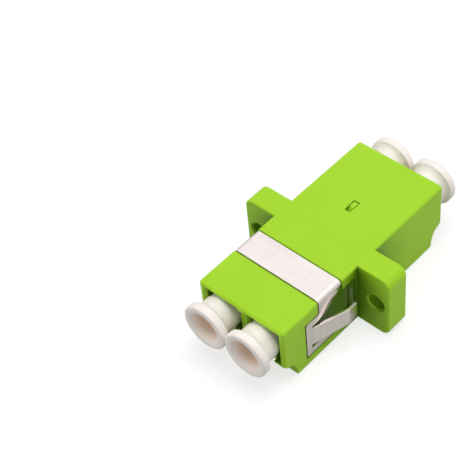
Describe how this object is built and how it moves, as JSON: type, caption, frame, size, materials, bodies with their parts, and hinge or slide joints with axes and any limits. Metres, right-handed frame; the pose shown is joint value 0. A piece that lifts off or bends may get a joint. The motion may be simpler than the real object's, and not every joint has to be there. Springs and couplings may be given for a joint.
{
  "type": "fibre optic coupler",
  "caption": "Flanged duplex fibre optic coupler with moulded housing, folded panel clip, latch windows, inner sleeve holder and pull-out dust caps.",
  "frame": {"origin": "centre of the flange's clip-side face, midway between its two holes", "axes": "+Y along the ports towards the open end that takes the sleeve holder, -Y towards the clip end, X across the two ports, +Z away from the latch side"},
  "size_m": [0.022, 0.0352, 0.0094],
  "materials": {
    "green_plastic": "satin moulded lime green plastic",
    "ceramic": "polished white ceramic",
    "clip_steel": "bright rolled stainless strip",
    "cap_plastic": "soft translucent off-white plastic"
  },
  "bodies": {
    "coupler": {"housing": "green_plastic", "sleeve_holder": "green_plastic", "split_sleeve_left": "ceramic", "split_sleeve_right": "ceramic", "spring_clip": "clip_steel"},
    "cap_front_left": {"dust_cap_front_left": "cap_plastic"},
    "cap_front_right": {"dust_cap_front_right": "cap_plastic"},
    "cap_rear_left": {"dust_cap_rear_left": "cap_plastic"},
    "cap_rear_right": {"dust_cap_rear_right": "cap_plastic"}
  },
  "joints": [
    {"name": "front_left_cap_pull", "type": "slide", "parent": "coupler", "child": "cap_front_left", "axis": [0, -1, 0], "range_m": [0, 0.014]},
    {"name": "front_right_cap_pull", "type": "slide", "parent": "coupler", "child": "cap_front_right", "axis": [0, -1, 0], "range_m": [0, 0.014]},
    {"name": "rear_left_cap_pull", "type": "slide", "parent": "coupler", "child": "cap_rear_left", "axis": [0, 1, 0], "range_m": [0, 0.014]},
    {"name": "rear_right_cap_pull", "type": "slide", "parent": "coupler", "child": "cap_rear_right", "axis": [0, 1, 0], "range_m": [0, 0.014]}
  ]
}
